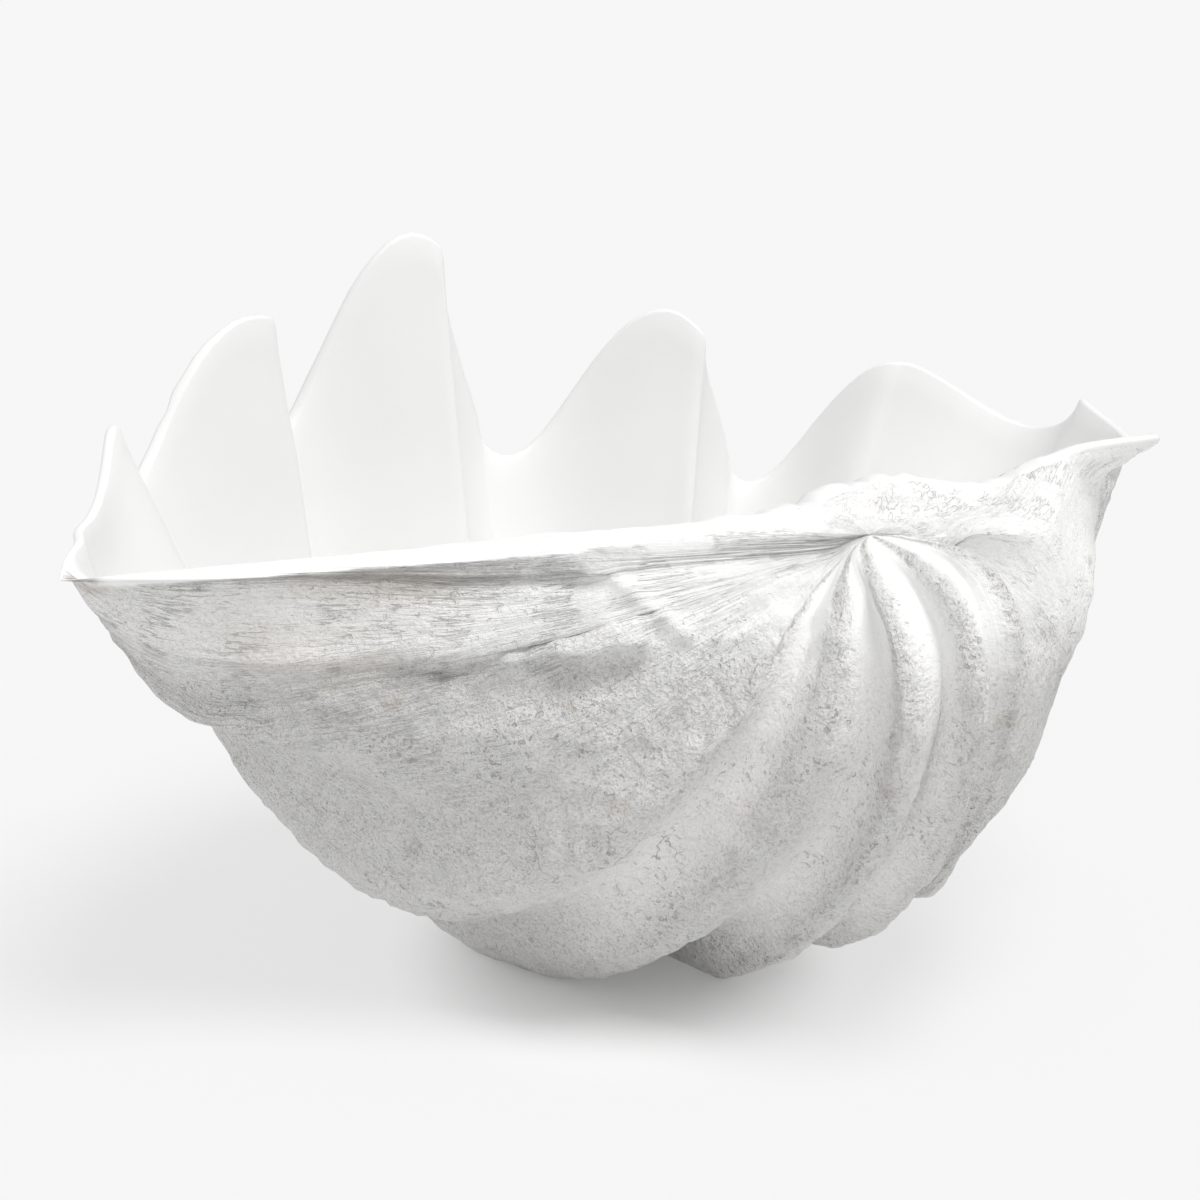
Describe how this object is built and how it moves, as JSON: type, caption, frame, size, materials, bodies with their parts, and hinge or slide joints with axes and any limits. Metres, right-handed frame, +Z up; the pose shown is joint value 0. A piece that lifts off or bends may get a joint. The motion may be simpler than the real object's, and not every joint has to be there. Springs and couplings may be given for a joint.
{
  "type": "clam shell",
  "caption": "Single valve of a giant clam, hollow side up: a deep white shell bowl with a fluted, folded back, a thick hinge and a tall lobed lip, resting on its folded back.",
  "frame": {"origin": "middle of the bounding box in X and Y, on the surface that the shell rests on", "axes": "+X along the hinge side towards the pointed right corner of the lip, which is the shell's longest way; +Y from the hinge side to the lobed far lip; +Z up, out of the hollow"},
  "size_m": [0.6234, 0.5288, 0.4153],
  "materials": {
    "chalky_shell": "dry chalky white outside, smoother satin white inside"
  },
  "bodies": {
    "root": {"clam_shell": "chalky_shell"}
  },
  "joints": []
}
